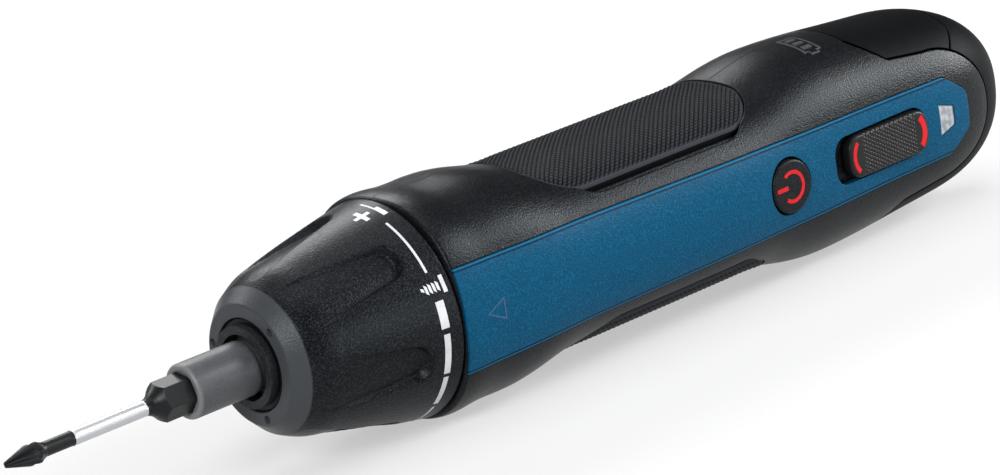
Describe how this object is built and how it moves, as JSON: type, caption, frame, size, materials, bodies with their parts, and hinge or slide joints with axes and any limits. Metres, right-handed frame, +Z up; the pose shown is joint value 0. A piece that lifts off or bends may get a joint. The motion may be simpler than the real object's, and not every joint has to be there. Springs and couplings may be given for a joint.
{
  "type": "cordless screwdriver",
  "caption": "Slim cordless stick screwdriver with a bit holder, torque collar, push start, planetary gearbox, side panel with power button and direction switch, and a lift-up charging cover.",
  "frame": {"origin": "on the spindle axis, at the mouth of the bit socket", "axes": "+X along the spindle towards the rear cap, +Z up towards the charging cover, the side panel faces -Y"},
  "size_m": [0.2369, 0.0406, 0.0412],
  "materials": {
    "shell": "fine moulded grain",
    "panel": "fine moulded grain",
    "lens": "clear",
    "grip": "fine ribs",
    "cap": "satin",
    "collar": "fine moulded grain",
    "button": "satin",
    "nose": "satin",
    "holder_steel": "dark oxide",
    "bit_steel": "satin with dark ends",
    "spring_steel": "satin",
    "bronze": "sintered",
    "nut_plastic": "natural",
    "gear_steel": "sintered",
    "motor_steel": "zinc plated",
    "rotor_steel": "varnished",
    "magnet": "ferrite",
    "motor_plastic": "natural",
    "cell": "shrink wrapped",
    "nickel": "satin",
    "board": "solder mask",
    "switch_plastic": "moulded",
    "led": "clear resin",
    "socket_steel": "plated"
  },
  "bodies": {
    "housing": {"left_shell": "shell", "right_shell": "shell", "side_panel": "panel", "led_lens": "lens", "top_grip": "grip", "bottom_grip": "grip", "rear_cap": "cap", "shell_screws": "spring_steel", "collar_clip": "spring_steel", "clutch_spring": "spring_steel", "clutch_washer": "spring_steel", "clutch_pins": "spring_steel", "gearbox_housing": "nose", "nose_bush": "bronze", "push_spring": "spring_steel", "ring_gear": "gear_steel", "motor_plate": "motor_steel", "motor_screws": "spring_steel", "motor_can": "motor_steel", "motor_magnets": "magnet", "motor_end_cap": "motor_plastic", "battery_cell": "cell", "cell_contacts": "nickel", "control_board": "board", "start_switch": "switch_plastic", "power_switch": "switch_plastic", "direction_switch_base": "switch_plastic", "status_led": "led", "charge_board": "board", "usb_socket": "socket_steel"},
    "collar": {"torque_collar": "collar"},
    "clutch_nut": {"clutch_nut": "nut_plastic"},
    "push_slider": {"push_sleeve": "nut_plastic"},
    "spindle": {"bit_holder": "holder_steel", "bit_magnet": "magnet"},
    "bit": {"driver_bit": "bit_steel"},
    "rotor": {"motor_rotor": "rotor_steel", "motor_pinion": "gear_steel"},
    "first_carrier": {"first_carrier": "gear_steel"},
    "output_carrier": {"output_carrier": "gear_steel"},
    "power_button": {"power_button": "button"},
    "direction_switch": {"direction_switch": "button"},
    "charging_cover": {"charging_cover": "cap"},
    "first_planet_1": {"first_planet_1": "gear_steel"},
    "first_planet_2": {"first_planet_2": "gear_steel"},
    "first_planet_3": {"first_planet_3": "gear_steel"},
    "second_planet_1": {"second_planet_1": "gear_steel"},
    "second_planet_2": {"second_planet_2": "gear_steel"},
    "second_planet_3": {"second_planet_3": "gear_steel"}
  },
  "joints": [
    {"name": "collar_turn", "type": "hinge", "parent": "housing", "child": "collar", "pos_m": [0.03, 0, 0], "axis": [1, 0, 0], "range_deg": [-75, 70]},
    {"name": "clutch_nut_slide", "type": "slide", "parent": "collar", "child": "clutch_nut", "axis": [1, 0, 0], "range_m": [-0.0032, 0.003], "deforming": ["clutch_spring"]},
    {"name": "push_start", "type": "slide", "parent": "housing", "child": "push_slider", "axis": [1, 0, 0], "range_m": [0, 0.002], "stiffness_N_per_m": 1500, "springref_m": -0.002, "deforming": ["push_spring"]},
    {"name": "bit_pull", "type": "slide", "parent": "spindle", "child": "bit", "axis": [-1, 0, 0], "range_m": [0, 0.014]},
    {"name": "motor_spin", "type": "hinge", "parent": "housing", "child": "rotor", "pos_m": [0.08, 0, 0], "axis": [1, 0, 0], "continuous": true},
    {"name": "spindle_spin", "type": "hinge", "parent": "push_slider", "child": "spindle", "pos_m": [0.02, 0, 0], "axis": [1, 0, 0], "continuous": true},
    {"name": "output_spin", "type": "hinge", "parent": "housing", "child": "output_carrier", "pos_m": [0.05, 0, 0], "axis": [1, 0, 0], "continuous": true},
    {"name": "first_carrier_spin", "type": "hinge", "parent": "housing", "child": "first_carrier", "pos_m": [0.06, 0, 0], "axis": [1, 0, 0], "continuous": true},
    {"name": "power_press", "type": "slide", "parent": "housing", "child": "power_button", "axis": [0, 1, 0], "range_m": [0, 0.0007], "stiffness_N_per_m": 1500, "springref_m": -0.0008},
    {"name": "direction_slide", "type": "slide", "parent": "housing", "child": "direction_switch", "axis": [-1, 0, 0], "range_m": [0, 0.0028]},
    {"name": "cover_lift", "type": "hinge", "parent": "housing", "child": "charging_cover", "pos_m": [0.18315, 0, 0.0166], "axis": [0, 1, 0], "range_deg": [0, 85]},
    {"name": "first_planet_1_spin", "type": "hinge", "parent": "first_carrier", "child": "first_planet_1", "pos_m": [0.0658, 0.0075, 0], "axis": [1, 0, 0], "continuous": true},
    {"name": "first_planet_2_spin", "type": "hinge", "parent": "first_carrier", "child": "first_planet_2", "pos_m": [0.0658, -0.00375, 0.0065], "axis": [1, 0, 0], "continuous": true},
    {"name": "first_planet_3_spin", "type": "hinge", "parent": "first_carrier", "child": "first_planet_3", "pos_m": [0.0658, -0.00375, -0.0065], "axis": [1, 0, 0], "continuous": true},
    {"name": "second_planet_1_spin", "type": "hinge", "parent": "output_carrier", "child": "second_planet_1", "pos_m": [0.0555, 0.0075, 0], "axis": [1, 0, 0], "continuous": true},
    {"name": "second_planet_2_spin", "type": "hinge", "parent": "output_carrier", "child": "second_planet_2", "pos_m": [0.0555, -0.00375, 0.0065], "axis": [1, 0, 0], "continuous": true},
    {"name": "second_planet_3_spin", "type": "hinge", "parent": "output_carrier", "child": "second_planet_3", "pos_m": [0.0555, -0.00375, -0.0065], "axis": [1, 0, 0], "continuous": true}
  ],
  "couplings": [
    {"joint": "clutch_nut_slide", "follows": "collar_turn", "m_per_rad": 0.00237},
    {"joint": "spindle_spin", "follows": "motor_spin", "ratio": 0.04},
    {"joint": "output_spin", "follows": "motor_spin", "ratio": 0.04},
    {"joint": "first_carrier_spin", "follows": "motor_spin", "ratio": 0.2},
    {"joint": "first_planet_1_spin", "follows": "motor_spin", "ratio": -0.53333},
    {"joint": "first_planet_2_spin", "follows": "motor_spin", "ratio": -0.53333},
    {"joint": "first_planet_3_spin", "follows": "motor_spin", "ratio": -0.53333},
    {"joint": "second_planet_1_spin", "follows": "motor_spin", "ratio": -0.10667},
    {"joint": "second_planet_2_spin", "follows": "motor_spin", "ratio": -0.10667},
    {"joint": "second_planet_3_spin", "follows": "motor_spin", "ratio": -0.10667}
  ]
}
